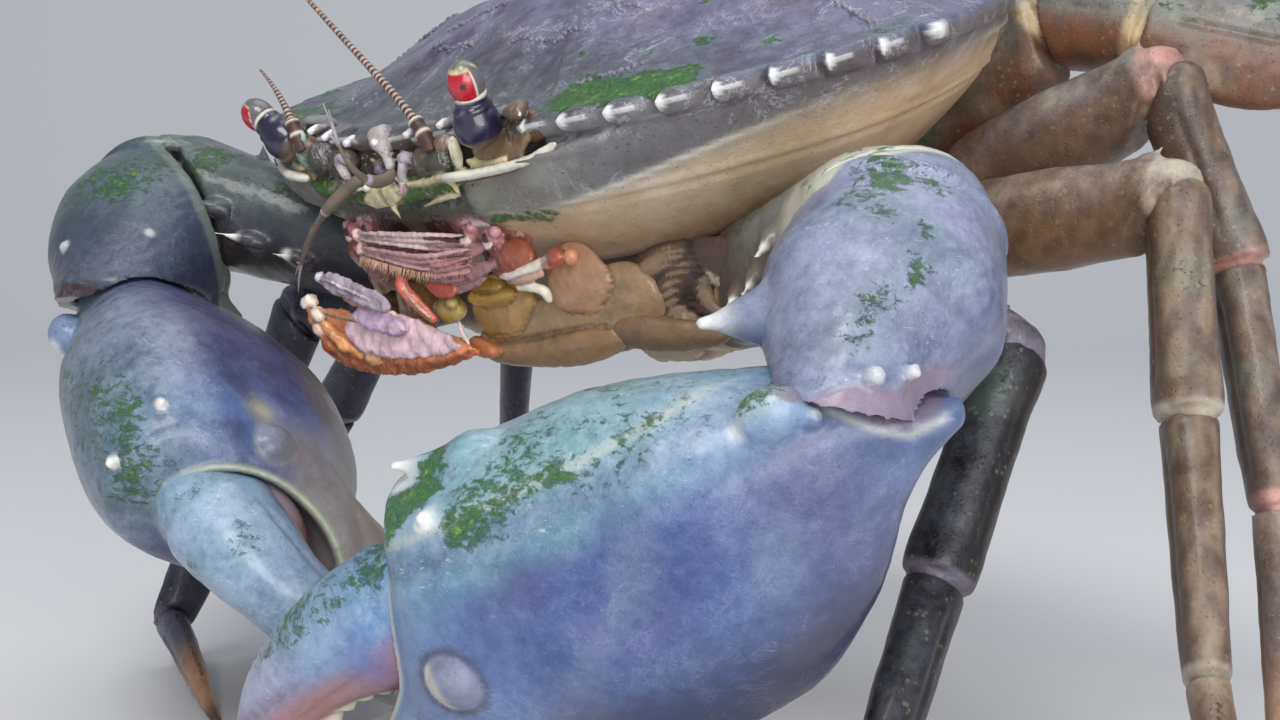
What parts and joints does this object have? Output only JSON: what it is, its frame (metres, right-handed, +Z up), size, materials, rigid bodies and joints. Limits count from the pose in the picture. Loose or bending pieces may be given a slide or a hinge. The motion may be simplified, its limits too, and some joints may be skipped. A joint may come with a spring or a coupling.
{
  "type": "giant mud crab model",
  "caption": "Life-size still model of an adult mud crab: domed toothed shell, folded heavy claws, stalked eyes, walking legs and raised swimming paddles.",
  "frame": {"origin": "centre of the bounding box at floor level", "axes": "-Y is the way the crab faces, +X is its left side, +Z is up"},
  "size_m": [0.39, 0.2152, 0.1646],
  "materials": {
    "back_shell": "satin, fine grain, weed film near the front edge",
    "belly_shell": "smooth satin",
    "claw_shell": "smooth and moist, pale mottling",
    "cornea": "polished",
    "eyestalk": "smooth and moist",
    "feeler": "satin, banded",
    "jaw_shell": "smooth and moist",
    "leg_shell": "smooth and moist"
  },
  "bodies": {
    "root": {"abdomen": "belly_shell", "antenna_left": "feeler", "antenna_right": "feeler", "antennule_left": "feeler", "antennule_right": "feeler", "carapace": "back_shell", "claw_left_carpus": "claw_shell", "claw_left_dactyl": "claw_shell", "claw_left_ischium": "belly_shell", "claw_left_merus": "claw_shell", "claw_left_palm": "claw_shell", "claw_right_carpus": "claw_shell", "claw_right_dactyl": "claw_shell", "claw_right_ischium": "belly_shell", "claw_right_merus": "claw_shell", "claw_right_palm": "claw_shell", "cornea_left": "cornea", "cornea_right": "cornea", "eyestalk_left": "eyestalk", "eyestalk_right": "eyestalk", "leg_left_2_carpus": "leg_shell", "leg_left_2_dactyl": "leg_shell", "leg_left_2_merus": "leg_shell", "leg_left_2_propodus": "leg_shell", "leg_left_3_carpus": "leg_shell", "leg_left_3_dactyl": "leg_shell", "leg_left_3_merus": "leg_shell", "leg_left_3_propodus": "leg_shell", "leg_left_4_carpus": "leg_shell", "leg_left_4_dactyl": "leg_shell", "leg_left_4_merus": "leg_shell", "leg_left_4_propodus": "leg_shell", "leg_left_5_carpus": "leg_shell", "leg_left_5_merus": "leg_shell", "leg_left_5_paddle": "leg_shell", "leg_left_5_propodus": "leg_shell", "leg_right_2_carpus": "leg_shell", "leg_right_2_dactyl": "leg_shell", "leg_right_2_merus": "leg_shell", "leg_right_2_propodus": "leg_shell", "leg_right_3_carpus": "leg_shell", "leg_right_3_dactyl": "leg_shell", "leg_right_3_merus": "leg_shell", "leg_right_3_propodus": "leg_shell", "leg_right_4_carpus": "leg_shell", "leg_right_4_dactyl": "leg_shell", "leg_right_4_merus": "leg_shell", "leg_right_4_propodus": "leg_shell", "leg_right_5_carpus": "leg_shell", "leg_right_5_merus": "leg_shell", "leg_right_5_paddle": "leg_shell", "leg_right_5_propodus": "leg_shell", "maxilliped_left": "jaw_shell", "maxilliped_right": "jaw_shell", "mouthparts_left": "jaw_shell", "mouthparts_right": "jaw_shell", "thorax": "belly_shell"}
  },
  "joints": []
}
